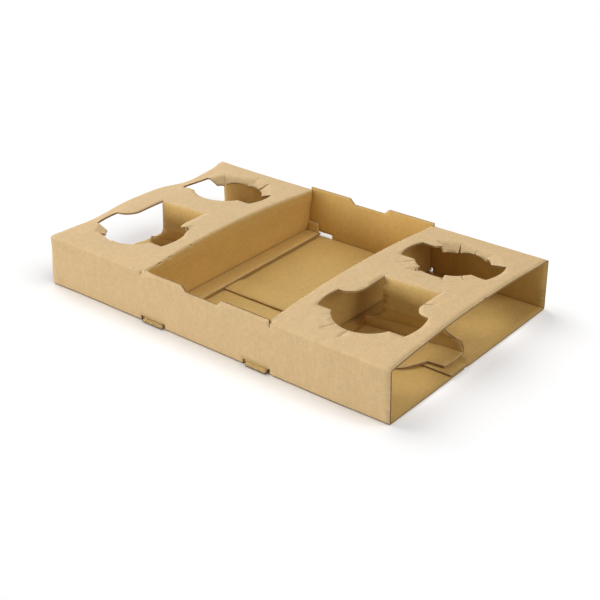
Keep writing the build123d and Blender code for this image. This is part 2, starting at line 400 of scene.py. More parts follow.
@dataclass(frozen=True)
class CupHole:
    """A cup hole's sizes about its centre, in millimetres and degrees."""

    x: float
    y: float
    cup_radius: float = 31.0
    wing_radius: float = 43.0
    wing_half_width: float = 15.5
    wing_corners: tuple[float, float, float, float] = (15.5, 15.5, 15.5, 15.5)
    slits: tuple[Slit, ...] = ()
    fingers: tuple[Finger, ...] = ()
    neck: bool = False
    neck_corner_radius: float = 12.5
    wing_shoulder: float = 2.1
    neck_fold_y: float = -4.5
    relief: float = 2.6
    flap_play: float = 0.6
    flap_corners: tuple[float, float, float, float] = (15.5, 15.5, 15.5, 15.5)
    fold_reach: float = 2.4

    @property
    def corner_x(self) -> float:
        """Where the neck's rounded corner starts."""
        return half_chord(self.wing_radius, self.wing_half_width) - self.wing_shoulder

    @property
    def corner_y(self) -> float:
        """Where the neck's rounded corner ends."""
        return self.wing_half_width + self.neck_corner_radius

    @property
    def neck_half_width(self) -> float:
        """Half the width of the hole at the neck."""
        return self.corner_x - self.neck_corner_radius

    @property
    def flap_half_width(self) -> float:
        """Half the width of the flap at its neck."""
        return self.neck_half_width - self.flap_play

    @property
    def seam_y(self) -> float:
        """Where the neck's fold starts, about the hole's centre."""
        return self.neck_fold_y - self.y + self.fold_reach

    def edge(self, radius: float, corner: int, inset: float) -> float:
        """Angle from the x axis to a wing's corner; they go right rear, left rear, left front, right front."""
        return math.degrees(math.asin((self.wing_corners[corner] - inset) / radius))

    def rim(self, side: int, inset: float = 0.0) -> list[Point]:
        """The round part of the rim; side is 1 at the rear and -1 in front."""
        radius = self.cup_radius - inset
        if side > 0:
            return arc_points(radius, self.edge(radius, 0, inset), 180 - self.edge(radius, 1, inset))
        return arc_points(radius, 180 + self.edge(radius, 2, inset), 360 - self.edge(radius, 3, inset))

    def wing(self, side: int, inset: float = 0.0) -> list[Point]:
        """Rim of a wing, counter-clockwise; side is 1 for the right one and -1 for the left one."""
        radius = self.wing_radius - inset
        if side > 0:
            return arc_points(radius, -self.edge(radius, 3, inset), self.edge(radius, 0, inset))
        return arc_points(radius, 180 - self.edge(radius, 1, inset), 180 + self.edge(radius, 2, inset))

    def shoulder(self, side: int, inset: float = 0.0) -> list[Point]:
        """Rounded corner between a wing and the neck, going up to the neck; mirrored for side -1."""
        low = self.wing_corners[0 if side > 0 else 1]
        room = half_chord(self.wing_radius, low) - 1.5 - self.neck_half_width
        radius = min(self.corner_y - low, room)
        points = arc_points(radius + inset, -90, -180, (self.neck_half_width + radius, low + radius))
        return [(side * x, y) for x, y in points]

    def outline(self) -> list[Point]:
        """Outline of the hole about its centre, counter-clockwise, with its slits."""
        points = self.wing(1)
        if self.neck:
            top, wide, narrow = self.neck_fold_y - self.y + self.relief, self.neck_half_width, self.flap_half_width
            points += self.shoulder(1)
            points += [(wide, top), (narrow, top), (narrow, self.seam_y)]
            points += [(-narrow, self.seam_y), (-narrow, top), (-wide, top)]
            points += self.shoulder(-1)[::-1]
        else:
            points += self.rim(1)
        points += self.wing(-1) + self.rim(-1)
        for slit in self.slits:
            points = self.slitted(points, slit)
        return points

    def slitted(self, points: list[Point], slit: Slit) -> list[Point]:
        """Cut a slit into an outline.

        Args:
            points: The outline, seen from the centre in the order of its angles.
            slit: The cut.

        Returns:
            The outline with the slit's two sides and its tip.
        """
        rim = np.array(points)
        angles = np.unwrap(np.arctan2(rim[:, 1], rim[:, 0]))
        angle = math.radians(slit.angle)
        angle += 2 * math.pi * math.ceil((angles[0] - angle) / (2 * math.pi))
        radius = float(np.interp(angle, angles, np.hypot(*rim.T)))
        spread = slit.width / 2 / radius
        mouth, tips = [], []
        for side in (-1, 1):
            at = angle + side * spread
            mouth.append((float(np.interp(at, angles, rim[:, 0])), float(np.interp(at, angles, rim[:, 1]))))
            at = angle + math.radians(slit.lean) + side * slit.tip / slit.outer
            tips.append((slit.outer * math.cos(at), slit.outer * math.sin(at)))
        before = [q for q, t in zip(points, angles) if t < angle - spread - slit.room]
        after = [q for q, t in zip(points, angles) if t > angle + spread + slit.room]
        return before + [mouth[0], *tips, mouth[1]] + after

    def flap_outline(self) -> list[Point]:
        """Outline of the flap that was cut from the hole, counter-clockwise."""
        inset, cut = self.flap_play, replace(self, wing_corners=self.flap_corners)
        points = cut.wing(1, inset) + cut.shoulder(1, inset)
        points += [(self.flap_half_width, self.seam_y), (-self.flap_half_width, self.seam_y)]
        points += cut.shoulder(-1, inset)[::-1] + cut.wing(-1, inset)
        return points + cut.rim(-1, inset)

    def hinge(self, finger: Finger) -> tuple[Array, Array, Array]:
        """The two ends of a finger's root, and the way in from it towards the centre."""
        a, b = math.radians(finger.start), math.radians(finger.end)
        one = finger.root * np.array([math.cos(a), math.sin(a)])
        two = (finger.end_root or finger.root) * np.array([math.cos(b), math.sin(b)])
        along = (two - one) / np.linalg.norm(two - one)
        return one, two, np.array([-along[1], along[0]])

    def hinge_points(self) -> Array:
        """Points in rows along the fingers' roots, about the hole's centre."""
        found = [np.zeros((0, 2))]
        for finger in self.fingers:
            one, two, inward = self.hinge(finger)
            length = finger.softness * math.radians(abs(finger.bend))
            depths = [-0.5, *np.linspace(0, length, 4 if length > 0.4 else 2), length + 0.7, length + 3, length + 6]
            shares = np.linspace(0.06, 0.94, max(3, round(np.linalg.norm(two - one) / 1.6)))
            for depth in depths:
                found.append(one + np.outer(shares, two - one) + depth * inward)
        return np.vstack(found)

    def bent(self, local: Array) -> tuple[Array, Array]:
        """Where the fingers' points go.

        Args:
            local: Points of the blank about the hole's centre.

        Returns:
            The points after the bend, and how far each has dropped below the sheet.
        """
        out, drop = local.copy(), np.zeros(len(local))
        angle = np.degrees(np.arctan2(local[:, 1], local[:, 0])) % 360
        radius = np.hypot(local[:, 0], local[:, 1])
        for finger in self.fingers:
            one, _, inward = self.hinge(finger)
            depth = (local - one) @ inward
            own = (angle > finger.start) & (angle < finger.end) & (depth > 0) & (radius > self.cup_radius - 6)
            turn = math.radians(finger.bend)
            length = finger.softness * abs(turn)
            t = np.minimum(depth, length) / finger.softness
            past = np.maximum(depth - length, 0)
            run = finger.softness * np.sin(t) + past * math.cos(turn)
            fall = math.copysign(1, turn) * (finger.softness * (1 - np.cos(t)) + past * math.sin(abs(turn)))
            out[own] += np.outer(run - depth, inward)[own]
            drop[own] = fall[own]
        return out, drop


NEAR_LEFT_HOLE = CupHole(
    -125.0,
    -55.0,
    wing_corners=(15.5, 9.5, 15.5, 15.5),
    neck=True,
    slits=(Slit(34.0, 47.0, 1.6, 3.0), Slit(224.0, 41.0, 1.0), Slit(262.0, 34.0, 0.6)),
    fingers=(
        Finger(21.0, 34.0, 46.0, 44.5),
        Finger(201.0, 224.0, 24.0, 42.0),
        Finger(224.0, 262.0, 76.0, 39.5, end_root=34.0),
    ),
)
NEAR_RIGHT_HOLE = CupHole(
    125.0,
    -55.0,
    wing_corners=(16.0, 12.5, 15.5, 15.5),
    neck=True,
    slits=(
        Slit(222.5, 36.0, 0.35, -1.5),
        Slit(247.3, 42.0, 0.4, -1.4),
        Slit(273.0, 41.4, 0.35, -1.6),
        Slit(49.5, 47.9, 0.4, -2.9),
    ),
)
FAR_LEFT_HOLE = CupHole(
    -125.0,
    55.0,
    wing_corners=(15.5, 15.5, 22.0, 15.5),
    slits=(Slit(65.0, 44.5, 1.4), Slit(89.0, 43.0, 0.6), Slit(136.5, 44.0, 0.5)),
    fingers=(
        Finger(21.0, 65.0, 30.0, 44.0, 4.0),
        Finger(65.0, 89.0, 28.0, 43.0, 5.0),
        Finger(89.0, 136.5, 39.0, 44.5, 7.0),
        Finger(136.5, 159.0, 46.0, 44.0, 4.0),
    ),
)
FAR_RIGHT_HOLE = CupHole(
    125.0,
    55.0,
    wing_corners=(17.5, 15.5, 18.5, 15.5),
    slits=(
        Slit(62.0, 38.5, 0.6),
        Slit(88.0, 36.5, 0.6),
        Slit(113.0, 41.0, 1.0),
        Slit(139.0, 43.0, 0.4),
        Slit(222.0, 44.6, 0.6, 4.0),
        Slit(246.0, 44.0, 0.9, -3.0),
        Slit(290.0, 37.0, 0.7),
        Slit(315.5, 38.0, 0.5),
    ),
    fingers=(
        Finger(24.0, 62.0, 13.0, 43.0, 6.0),
        Finger(62.0, 113.0, 38.0, 44.0, 7.0),
        Finger(113.0, 139.0, 43.0, 43.5, 7.0),
        Finger(246.0, 290.0, 14.0),
        Finger(290.0, 315.5, -3.0, 38.0),
        Finger(315.5, 339.0, -6.0, 38.0),
    ),
)


@dataclass
class Sleeve:
    """The closed ring: lapped base, outer walls, and the crowned top with its cup holes."""

    half_length: float = 182.0
    half_width: float = 110.0
    fold_height: float = 45.0
    crown_rise: float = 6.0
    crease_radius: float = 1.95
    lap_edge_y: float = -31.0
    lower_edge_y: float = -13.0
    joggle_end_y: float = -4.0
    well_half_length: float = 67.5
    well_half_depth: float = 107.3
    relief_length: float = 3.5
    slit_width: float = 0.6
    left_slit_width: float = 0.03
    straight_z: float = 40.6
    slot_inner_x: float = 43.0
    slot_outer_x: float = 71.0
    slot_height: float = 5.1
    holes: tuple[CupHole, ...] = (NEAR_LEFT_HOLE, NEAR_RIGHT_HOLE, FAR_LEFT_HOLE, FAR_RIGHT_HOLE)
    wall_bow: float = 1.2
    end_bow: float = 1.5

    def __post_init__(self) -> None:
        """Work out the ring's line from the sizes, from the lap round the rear to the front of the base."""
        mid, half, reach = BOARD.fold_radius, self.half_width, self.crease_radius
        self.crown_radius = (half**2 + self.crown_rise**2) / (2 * self.crown_rise)
        self.crown_centre_z = self.fold_height + self.crown_rise - self.crown_radius
        fold_y = half - reach
        fold_z = self.crown_centre_z + half_chord(self.crown_radius - reach, fold_y)
        lift = math.degrees(math.atan2(fold_z - self.crown_centre_z, fold_y))
        wall_y = half - BOARD.half
        ring = Section((self.lap_edge_y, 3 * BOARD.half + 0.02))
        ring.rows += [ring.line((self.lower_edge_y, 3 * BOARD.half + 0.02))]
        ring.rows += [ring.line((self.joggle_end_y, BOARD.half))]
        self.rear_base = ring.line((fold_y, BOARD.half))
        self.rear_wall = ring.fold((fold_y, reach), mid, -90, 0)
        ring.line((wall_y, fold_z))
        crown_start = ring.fold((fold_y, fold_z), mid, 0, lift)
        crown_end = ring.arc((0, self.crown_centre_z), self.crown_radius - BOARD.half, lift, 180 - lift, 400)
        ring.fold((-fold_y, fold_z), mid, 180 - lift, 180)
        self.front_wall = ring.line((-wall_y, reach))
        self.front_base = ring.fold((-fold_y, reach), mid, 180, 270)
        self.end = ring.line((self.lower_edge_y, BOARD.half))
        self.ring = ring
        lengths = np.linspace(crown_start, crown_end, 2001)
        self.crown_table = (ring.at(lengths)[0][::-1], lengths[::-1])

    def on_crown(self, y: float) -> float:
        """Length along the ring to a place on the crowned top."""
        return float(np.interp(y, *self.crown_table))

    def on_rear(self, z: float) -> float:
        """Length along the ring to a height on the rear wall."""
        return self.rear_wall + z - self.crease_radius

    def on_front(self, z: float) -> float:
        """Length along the ring to a height on the front wall."""
        return self.front_wall - (z - self.crease_radius)

    def well_opening(self) -> list[Point]:
        """Loop round the open well in the blank, with its relief slits."""
        seam, slit = self.well_half_length + self.crease_radius, self.well_half_length + self.relief_length
        crest, left_crest = slit - self.slit_width, slit - self.left_slit_width
        rear, front = self.on_rear(self.straight_z), self.on_front(self.straight_z)
        far, near = self.on_crown(self.well_half_depth), self.on_crown(-self.well_half_depth)
        right = [(crest, rear), (slit, rear), (slit, far), (seam, far), (seam, near), (slit, near)]
        right += [(slit, front), (crest, front)]
        return right + [(-left_crest, front)] + [(-x, s) for x, s in right[-2:0:-1]] + [(-left_crest, rear)]

    def slots(self) -> list[list[Point]]:
        """Loops of the four slots for the locking tabs."""
        a, b = self.slot_inner_x, self.slot_outer_x
        rear = (self.rear_base, self.on_rear(self.slot_height))
        front = (self.on_front(self.slot_height), self.front_base)
        return [
            [(side * a, low), (side * b, low), (side * b, high), (side * a, high)]
            for side in (-1, 1)
            for low, high in (rear, front)
        ]

    def about(self, hole: CupHole, points: Array | list[Point]) -> Array:
        """Points about a hole's centre as points of the blank."""
        return np.array(points) * (1, -1) + (hole.x, self.on_crown(hole.y))

    def wrap(self, flat: Array) -> Array:
        """Points of the folded ring's middle layer, before its fingers are bent."""
        y, z = self.ring.at(flat[:, 1])
        return np.column_stack([flat[:, 0], y, z])

    def place(self, flat: Array) -> Array:
        """Points of the folded ring, fingers and all.

        Args:
            flat: Points in the blank.

        Returns:
            Their places in the carrier.
        """
        moved, drop = flat.copy(), np.zeros(len(flat))
        for hole in self.holes:
            local = (flat - (hole.x, self.on_crown(hole.y))) * (1, -1)
            near = np.hypot(*local.T) < hole.wing_radius + 1
            bent, drop[near] = hole.bent(local[near])
            moved[near] = self.about(hole, bent)
        out = self.wrap(moved)
        away = out[:, 1:] - (0, self.crown_centre_z)
        away /= np.linalg.norm(away, axis=1)[:, None]
        out[:, 1:] -= drop[:, None] * away
        return self.bowed(out)

    def bowed(self, points: Array) -> Array:
        """How the front wall bulges outwards at its foot, most at the left end."""
        reach = self.wall_bow * (1 - smooth(points[:, 0], self.half_length - 60, self.half_length))
        reach = reach + self.end_bow * np.exp(-(points[:, 0] + self.half_length) / 30)
        low = 1 - smooth(points[:, 2], 6, self.fold_height - 6)
        front = smooth(-points[:, 1], self.half_width - 40, self.half_width - 3)
        out = points.copy()
        out[:, 1] -= reach * low * front
        return out

    def patch(self) -> Patch:
        """The ring as a region of the blank."""
        x = self.half_length
        nick = [(x, self.on_crown(15)), (x - 0.9, self.on_crown(12)), (x, self.on_crown(8.5))]
        rim = [(-x, 0.0), (x, 0.0), *nick, (x, self.end), (-x, self.end)]
        loops = [rim, self.well_opening(), *self.slots(), *[self.about(h, h.outline()).tolist() for h in self.holes]]
        hinges = [self.about(h, h.hinge_points()) for h in self.holes]
        return Patch("sleeve", loops, self.place, self.ring.rows, extra=np.vstack(hinges))


@dataclass
class WallCrest:
    """The raw top edge of an outer wall beside the well, with its flared recess."""

    sleeve: Sleeve
    rear: bool
    top_z: float = 47.5
    recess_z: float = 42.5
    recess_half_length: float = 16.8
    recess_flare: float = 5.0
    left_step: float = 0.0
    left_drop: float = 0.0

    def place(self, flat: Array) -> Array:
        """Points of the wall, which goes straight up past the top folds, but folds in at its left end in front.

        Args:
            flat: Points in the blank.

        Returns:
            Their places in the carrier.
        """
        s = self.sleeve
        y = s.half_width - BOARD.half
        if self.rear:
            z = flat[:, 1] - s.rear_wall + s.crease_radius
            return np.column_stack([flat[:, 0], np.full(len(flat), y), z])
        z = s.front_wall - flat[:, 1] + s.crease_radius
        folded_y, folded_z = s.ring.at(flat[:, 1])
        share = smooth(-flat[:, 0], s.well_half_length - 16, s.well_half_length + 2)
        return np.column_stack([flat[:, 0], -y + share * (folded_y + y), z + share * (folded_z - z)])

    def patch(self) -> Patch:
        """The crest as a region of the blank."""
        s = self.sleeve
        height = s.on_rear if self.rear else s.on_front
        end = s.well_half_length + s.relief_length - s.slit_width
        base, top, low = height(s.straight_z), height(self.top_z), height(self.recess_z)
        flare = self.recess_half_length + self.recess_flare
        left = end + s.slit_width - s.left_slit_width - self.left_step
        half = [(end, base), (end, top), (flare, top), (self.recess_half_length, low)]
        rest = [(-self.recess_half_length, low), (-flare, top), (-left, height(self.top_z - self.left_drop))]
        rest += [(-left, height(s.straight_z + 1.5))] if self.left_step else []
        return Patch("crest", [half + rest + [(s.left_slit_width - s.slit_width - end, base)]], self.place)


@dataclass
class WellPanel:
    """One wall of the well: it hangs from a top fold and turns in as a flange with two locking tabs."""

    sleeve: Sleeve
    side: int
    lean: float
    flange_width: float = 23.0
    toe_skew: float = 0.0
    seat_z: float = 3.3
    tab_width: float = 21.0
    tab_inset: float = 11.5
    tab_reach: float = 3.0
    tab_tip_z: float = 0.3
    end_reach: float = 0.9
    popped_rear_tab: bool = False
    popped_length: float = 9.6
    popped_narrowing: float = 6.0
    nicks: tuple[Triple, ...] = ()
    end_y: float = 103.0
    end_low: Point = (5.0, 8.0)
    end_high: Point = (-40.0, -36.0)
    skew_start: float = 20.0
    tab_play: float = 0.2
    nick_bow: Point = (0.3, -0.35)

    def __post_init__(self) -> None:
        """Work out the panel's cross-section below its top fold, and where its tabs lie in the blank."""
        s, radius = self.sleeve, BOARD.fold_radius
        self.seam_x = s.well_half_length + s.crease_radius
        self.foot_z, self.top_z = self.seat_z + BOARD.half, s.straight_z + 2.0
        wall_x, inside_x = s.well_half_length + BOARD.half, s.well_half_length + self.lean
        heel, toe_x = (inside_x + BOARD.half, self.foot_z), inside_x - self.flange_width
        self.section = rounded([(wall_x, self.top_z), (wall_x, s.straight_z), heel, (toe_x, self.foot_z)], radius)
        self.arc_length = radius * math.pi / 2
        self.wall_length = s.fold_height + s.crown_rise - BOARD.half - radius - self.top_z
        self.depth = self.arc_length + self.wall_length + self.section.length
        self.far, self.near = s.on_crown(s.well_half_depth), s.on_crown(-s.well_half_depth)
        self.tab_way = (s.half_width + self.tab_reach - s.well_half_depth, self.tab_tip_z - self.seat_z)
        middle = inside_x - self.tab_inset
        self.tab_sides = [self.depth - (middle + end * self.tab_width / 2 - toe_x) for end in (1, -1)]
        self.bend_y = s.well_half_depth - BOARD.half - radius
        self.bend = s.on_crown(self.bend_y)

    def nick(self, y: float, length: float, depth: float) -> list[Point]:
        """Outline of a small tear along the top fold."""
        inner, outer = self.nick_bow
        points = [(depth, y), (depth + inner, y - length / 2), (depth, y - length), (depth + outer, y - length / 2)]
        return [(self.side * (self.seam_x - d), self.sleeve.on_crown(v)) for d, v in points]

    def place(self, flat: Array) -> Array:
        """Points of the folded panel.

        Args:
            flat: Points in the blank, the first number running inwards from the top fold.

        Returns:
            Their places in the carrier.
        """
        s, radius, v = self.sleeve, BOARD.fold_radius, flat[:, 1]
        depth = self.seam_x - self.side * flat[:, 0]
        y, crown = s.ring.at(v)
        turn = np.clip(depth, 0, self.arc_length) / radius
        share = np.clip((depth - self.arc_length) / self.wall_length, 0, 1)
        z = crown - radius * (1 - np.cos(turn)) - share * (crown - radius - self.top_z)
        below = depth - self.arc_length - self.wall_length
        sx, sz = self.section.at(np.maximum(below, 0))
        x, z = np.where(below > 0, sx, self.seam_x - radius * np.sin(turn)), np.where(below > 0, sz, z)
        slope = math.atan2(-self.tab_way[1], self.tab_way[0])
        for over, end in ((self.far - v, 1), (v - self.near, -1)):
            tab = (over > 0) & (below > 0)
            y = np.where(tab, end * (s.well_half_depth + over * math.cos(slope)), y)
            z = np.where(tab, z - over * math.sin(slope), z)
        if self.popped_rear_tab:
            outer, inner = self.tab_sides
            over = self.bend - v
            own = (depth > outer - self.tab_play) & (depth < inner - self.popped_narrowing + self.tab_play)
            own &= over > 0
            t = np.clip(over, 0, self.arc_length) / radius
            y = np.where(own, self.bend_y + radius * np.sin(t), y)
            z = np.where(own, self.foot_z + radius * (1 - np.cos(t)) + np.maximum(over - self.arc_length, 0), z)
        skew = self.toe_skew * y / s.well_half_depth * smooth(below, self.skew_start, self.section.length)
        flare = smooth(np.abs(y), self.end_y, s.well_half_depth) * smooth(z, *self.end_low)
        y = y + np.sign(y) * self.end_reach * flare * smooth(-z, *self.end_high)
        return np.column_stack([self.side * (x + skew), y, z])

    def patch(self) -> Patch:
        """The panel as a region of the blank."""
        far, near, reach = self.far, self.near, math.hypot(*self.tab_way)
        outer, inner = self.tab_sides
        corners = [(0.0, far), (0.0, near), (outer, near), (outer, near + reach)]
        corners += [(inner, near + reach), (inner, near), (self.depth, near), (self.depth, far)]
        rows = [far, near]
        if self.popped_rear_tab:
            bend, slit, inner = self.bend, self.sleeve.slit_width, inner - self.popped_narrowing
            top = bend - self.arc_length - self.popped_length + BOARD.fold_radius - BOARD.half
            corners += [(inner + slit, far), (inner + slit, bend), (inner, bend), (inner, top)]
            corners += [(outer, top), (outer, bend), (outer - slit, bend), (outer - slit, far)]
            rows += list(np.linspace(bend, bend - self.arc_length, 7))
        else:
            corners += [(inner, far), (inner, far - reach), (outer, far - reach), (outer, far)]
        loops = [[(self.side * (self.seam_x - d), v) for d, v in corners], *[self.nick(*n) for n in self.nicks]]
        start = self.arc_length + self.wall_length
        depths = [*np.linspace(0, self.arc_length, 7), *[start + r for r in self.section.rows]]
        columns = [self.side * (self.seam_x - d) for d in depths]
        # The well walls stand in shade, so their outer paper is drawn a deeper brown as painted shade.
        return Patch("well_panel", loops, self.place, rows, columns, self.side * self.seam_x, in_painted_shade=1.0)


@dataclass
class PropFlap:
    """The flap that hangs from the rear of a front hole, stands on the base and props up the top."""

    sleeve: Sleeve
    hole: CupHole
    seat_z: float = 3.3
    knee: float = 1.6
    knee_z: float = 25.5
    twist: float = 4.0
    toe_twist: float = 7.0
    spread: float = 0.0
    curl: float = 2.5
    toe_stretch: float = 1.0
    toe_lift: float = 0.03
    toe_settle: float = 0.0
    settle_across: Point = (-27.0, -13.0)
    settle_along: Point = (13.0, 33.0)
    stretch_along: Point = (2.0, 8.0)
    twist_z: Point = (-27.0, -18.0)
    toe_twist_z: Point = (-15.0, -5.0)
    lower_z: Point = (-27.0, -16.0)
    curl_z: Point = (4.0, 12.0)
    curl_across: Point = (5.0, 38.0)
    spread_from: float = 5.0
    hem: float = 4.0

    def __post_init__(self) -> None:
        """Work out the line that the flap hangs along."""
        s, h = self.sleeve, self.hole
        self.seam = s.on_crown(h.y) - h.seam_y
        start_y, top = (float(v) for v in s.ring.at(self.seam))
        self.fold_y = start_y - BOARD.fold_radius
        foot_z = self.seat_z + BOARD.half
        corners = [
            (start_y + self.hem, top),
            (self.fold_y, top),
            (self.fold_y - self.knee, self.knee_z),
            (self.fold_y + self.knee, 14.0),
            (self.fold_y, foot_z),
            (self.fold_y - 70, foot_z + 70 * self.toe_lift),
        ]
        self.line = rounded(corners, BOARD.fold_radius)

    def place(self, flat: Array) -> Array:
        """Points of the hanging flap.

        Args:
            flat: Points in the blank.

        Returns:
            Their places in the carrier.
        """
        y, z = self.line.at(flat[:, 1] - self.seam + self.hem)
        across, along = flat[:, 0] - self.hole.x, y - self.fold_y
        z = z - self.toe_settle * smooth(-across, *self.settle_across) * smooth(-along, *self.settle_along)
        along = along * (1 + (self.toe_stretch - 1) * smooth(-along, *self.stretch_along))
        toe_turn = (self.toe_twist - self.twist) * smooth(-z, *self.toe_twist_z)
        turn = np.radians(self.twist * smooth(-z, *self.twist_z) + toe_turn)
        lower = smooth(-z, *self.lower_z)
        step = lower * self.spread * np.maximum(across - self.spread_from, 0)
        bulge = self.curl * lower * smooth(z, *self.curl_z) * smooth(-across, *self.curl_across)
        x = self.hole.x + step + across * np.cos(turn) - along * np.sin(turn)
        return np.column_stack([x, self.fold_y - bulge + across * np.sin(turn) + along * np.cos(turn), z])

    def patch(self) -> Patch:
        """The flap as a region of the blank."""
        loop = self.sleeve.about(self.hole, self.hole.flap_outline()).tolist()
        rows = [self.seam - self.hem + r for r in self.line.rows]
        # The prop flaps stand in shade, so their outer paper is drawn a deeper brown as painted shade.
        return Patch("prop_flap", [loop], self.place, rows, in_painted_shade=1.0)


class Wiring:
    """Joins the shader nodes of a material or of the world."""

    def __init__(self, owner: bpy.types.ID) -> None:
        """Start from the plain nodes of a material or a world."""
        owner.use_nodes = True
        self.owner, self.nodes, self.links = owner, owner.node_tree.nodes, owner.node_tree.links

    def put(self, socket: Socket, value: Value) -> None:
        """Set a socket to a number or a colour, or link it to another socket."""
        if isinstance(value, Socket):
            self.links.new(value, socket)
        else:
            socket.default_value = (*value, 1) if socket.type == "RGBA" else value

    def node(self, kind: str, *values: Value, **settings: str) -> bpy.types.Node:
        """Add a node.

        Args:
            kind: Kind of the shader node.
            values: What its first sockets get, in their order.
            settings: Its settings, by name.

        Returns:
            The new node.
        """
        made = self.nodes.new("ShaderNode" + kind)
        for name, setting in settings.items():
            setattr(made, name, setting)
        for socket, value in zip(made.inputs, values):
            self.put(socket, value)
        return made

    def measured(self, name: str, part: str = "Fac") -> Socket:
        """Read an attribute of the mesh."""
        return self.node("Attribute", attribute_name=name).outputs[part]

    def sums(self, kind: str, one: Value, two: Value = 0.0, three: Value = 0.0) -> Socket:
        """Join two or three numbers by arithmetic."""
        return self.node("Math", one, two, three, operation=kind).outputs[0]

    def stretched(self, place: Socket, stretch: Triple) -> Socket:
        """Stretch a place along its three axes."""
        return self.node("VectorMath", place, stretch, operation="MULTIPLY").outputs[0]

    def noise(self, place: Socket, stretch: Triple, scale: float, detail: float, rough: float) -> Socket:
        """Cloudy variation between 0 and 1."""
        place = self.stretched(place, stretch)
        return self.node("TexNoise", place, 0.0, scale, detail, rough, noise_dimensions="3D").outputs["Fac"]

    def step(self, value: Value, low: float, high: float) -> Socket:
        """Soft step of a number, from 0 at one limit to 1 at the other."""
        return self.node("MapRange", value, low, high, interpolation_type="SMOOTHSTEP").outputs[0]

    def blend(self, share: Value, one: Value, two: Value) -> Socket:
        """Mix two colours."""
        made = self.node("Mix", share, data_type="RGBA")
        for socket, colour in zip((s for s in made.inputs if s.type == "RGBA"), (one, two)):
            self.put(socket, colour)
        return next(socket for socket in made.outputs if socket.type == "RGBA")

    def shade(self, colour: Socket, amount: Socket) -> Socket:
        """Make a colour lighter or darker by a factor."""
        made = self.node("VectorMath", colour, operation="SCALE")
        self.put(made.inputs["Scale"], amount)
        return made.outputs[0]

    def bump(self, height: Socket, depth: float, under: Socket | None = None) -> Socket:
        """Roughen the surface, on top of the bump under it."""
        made = self.node("Bump")
        self.put(made.inputs["Height"], height)
        self.put(made.inputs["Distance"], depth)
        if under:
            self.put(made.inputs["Normal"], under)
        return made.outputs[0]

    def surface(self, colour: Socket, roughness: Socket, gloss: float, normal: Socket) -> bpy.types.Material:
        """Finish the material."""
        sockets = self.nodes["Principled BSDF"].inputs
        self.put(sockets["Base Color"], colour)
        self.put(sockets["Roughness"], roughness)
        self.put(sockets["Specular IOR Level"], gloss)
        self.put(sockets["Normal"], normal)
        return self.owner


